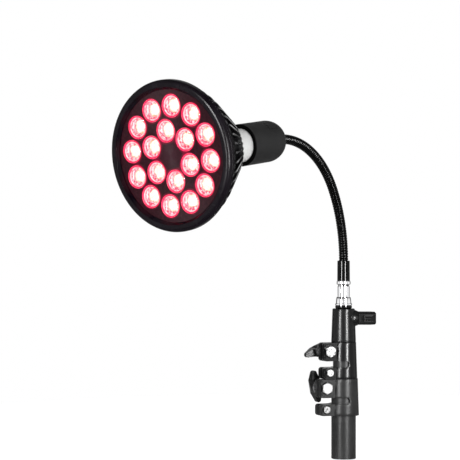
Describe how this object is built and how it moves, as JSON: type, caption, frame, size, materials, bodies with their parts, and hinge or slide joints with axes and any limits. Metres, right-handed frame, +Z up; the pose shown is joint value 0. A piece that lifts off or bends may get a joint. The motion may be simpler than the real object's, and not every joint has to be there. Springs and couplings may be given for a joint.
{
  "type": "led therapy lamp",
  "caption": "Round finned LED lamp head with red lenses in a lamp holder, on a ribbed flexible neck that turns on top of a telescopic tube with two clamp collars.",
  "frame": {"origin": "middle of the outer tube's open lower end", "axes": "+Z runs up the telescopic tube, the lamp shines towards -Y, and +X completes the right-handed frame"},
  "size_m": [0.121, 0.2772, 0.3227],
  "materials": {
    "bezel_black": "high gloss, near black with a purple cast",
    "plate_black": "glossy near black",
    "lens_red": "clear moulded acrylic lit red from behind",
    "led_white": "ceramic white",
    "board_white": "white solder mask",
    "board_green": "green solder mask",
    "component_mix": "moulded electronic components",
    "lead_red": "insulated wire",
    "sink_black": "die cast, black satin powder coat",
    "pale_plastic": "fine satin moulding",
    "insulator_black": "glossy black",
    "nickel": "bright nickel",
    "holder_grey": "matt dark grey thermoset",
    "core_black": "matt black thermoset",
    "brass": "plain",
    "neck_black": "black coated ribbed neck",
    "sleeve_black": "semi gloss black",
    "ring_black": "high gloss black",
    "chrome": "mirror bright",
    "steel": "zinc plated",
    "hub_grey": "satin dark grey moulding",
    "knob_black": "satin black moulding",
    "clamp_black": "satin black glass filled nylon",
    "bush_black": "plain black",
    "tube_grey": "satin dark grey coating"
  },
  "bodies": {
    "stand": {"outer_tube": "tube_grey", "lower_collar": "clamp_black", "lower_fix_bolt": "steel", "lower_fix_nut": "steel", "lower_clamp_bolt": "chrome", "lower_washer": "steel"},
    "lower_knob": {"lower_wing_knob": "knob_black", "lower_wing_insert": "brass"},
    "middle_section": {"middle_tube": "tube_grey", "middle_bush": "bush_black", "upper_collar": "clamp_black", "upper_fix_bolt": "steel", "upper_fix_nut": "steel", "upper_clamp_bolt": "chrome", "upper_washer": "steel"},
    "upper_knob": {"upper_wing_knob": "knob_black", "upper_wing_insert": "brass"},
    "top_section": {"top_tube": "tube_grey", "top_bush": "bush_black", "hub": "hub_grey", "hub_insert": "brass"},
    "hub_knob": {"hub_knob": "knob_black", "hub_knob_screw": "steel"},
    "adapter": {"spigot": "ring_black", "adapter_nut": "chrome", "adapter_stud": "chrome", "foot_sleeve": "sleeve_black", "gooseneck_1": "neck_black"},
    "neck_2": {"gooseneck_2": "neck_black"},
    "neck_3": {"gooseneck_3": "neck_black"},
    "neck_4": {"gooseneck_4": "neck_black"},
    "neck_5": {"gooseneck_5": "neck_black"},
    "lamp_holder": {"gooseneck_6": "neck_black", "neck_ferrule": "steel", "ferrule_nut": "steel", "holder_dome": "holder_grey", "holder_shell": "holder_grey", "holder_core": "core_black", "thread_sleeve": "brass", "centre_contact": "brass", "terminal_screws": "brass"},
    "bulb": {"front_bezel": "bezel_black", "lens_plate": "plate_black", "lenses_outer": "lens_red", "lenses_inner": "lens_red", "led_emitters": "led_white", "led_board": "board_white", "board_screws": "steel", "heat_sink": "sink_black", "driver_cup": "pale_plastic", "driver_board": "board_green", "driver_components": "component_mix", "led_leads": "lead_red", "base_collar": "pale_plastic", "screw_shell": "nickel", "base_insulator": "insulator_black", "tip_contact": "nickel"}
  },
  "joints": [
    {"name": "middle_slide", "type": "slide", "parent": "stand", "child": "middle_section", "axis": [0, 0, 1], "range_m": [0, 0.04]},
    {"name": "top_slide", "type": "slide", "parent": "middle_section", "child": "top_section", "axis": [0, 0, 1], "range_m": [0, 0.06]},
    {"name": "adapter_swivel", "type": "hinge", "parent": "top_section", "child": "adapter", "pos_m": [0, 0, 0.15], "axis": [0, 0, 1], "continuous": true},
    {"name": "neck_bend_1", "type": "hinge", "parent": "adapter", "child": "neck_2", "pos_m": [0, -0.00294, 0.20387], "axis": [1, 0, 0], "range_deg": [-32.5, 20], "deforming": ["gooseneck_1", "gooseneck_2"]},
    {"name": "neck_sway_1", "type": "hinge", "parent": "neck_2", "child": "neck_3", "pos_m": [0, -0.01162, 0.22978], "axis": [0, 0.9085, 0.4179], "range_deg": [-40, 40], "deforming": ["gooseneck_2", "gooseneck_3"]},
    {"name": "neck_bend_2", "type": "hinge", "parent": "neck_3", "child": "neck_4", "pos_m": [0, -0.02606, 0.25293], "axis": [1, 0, 0], "range_deg": [-32.5, 20], "deforming": ["gooseneck_3", "gooseneck_4"]},
    {"name": "neck_sway_2", "type": "hinge", "parent": "neck_4", "child": "neck_5", "pos_m": [0, -0.04702, 0.27036], "axis": [0, 0.5045, 0.8634], "range_deg": [-40, 40], "deforming": ["gooseneck_4", "gooseneck_5"]},
    {"name": "neck_bend_3", "type": "hinge", "parent": "neck_5", "child": "lamp_holder", "pos_m": [0, -0.07249, 0.28006], "axis": [1, 0, 0], "range_deg": [-32.5, 20], "deforming": ["gooseneck_5", "gooseneck_6"]},
    {"name": "bulb_turn", "type": "hinge", "parent": "lamp_holder", "child": "bulb", "pos_m": [0, -0.24349, 0.26206], "axis": [0, -0.9914, -0.1305], "range_deg": [0, 1260]},
    {"name": "lower_knob_turn", "type": "hinge", "parent": "stand", "child": "lower_knob", "pos_m": [-0.01661, -0.01397, 0.06365], "axis": [-0.866, 0.5, 0], "range_deg": [0, 360]},
    {"name": "upper_knob_turn", "type": "hinge", "parent": "middle_section", "child": "upper_knob", "pos_m": [-0.01496, -0.01111, 0.09625], "axis": [-0.866, 0.5, 0], "range_deg": [0, 360]},
    {"name": "hub_knob_turn", "type": "hinge", "parent": "top_section", "child": "hub_knob", "pos_m": [0, 0, 0.1253], "axis": [0.809, 0.5878, 0], "range_deg": [0, 360]}
  ]
}
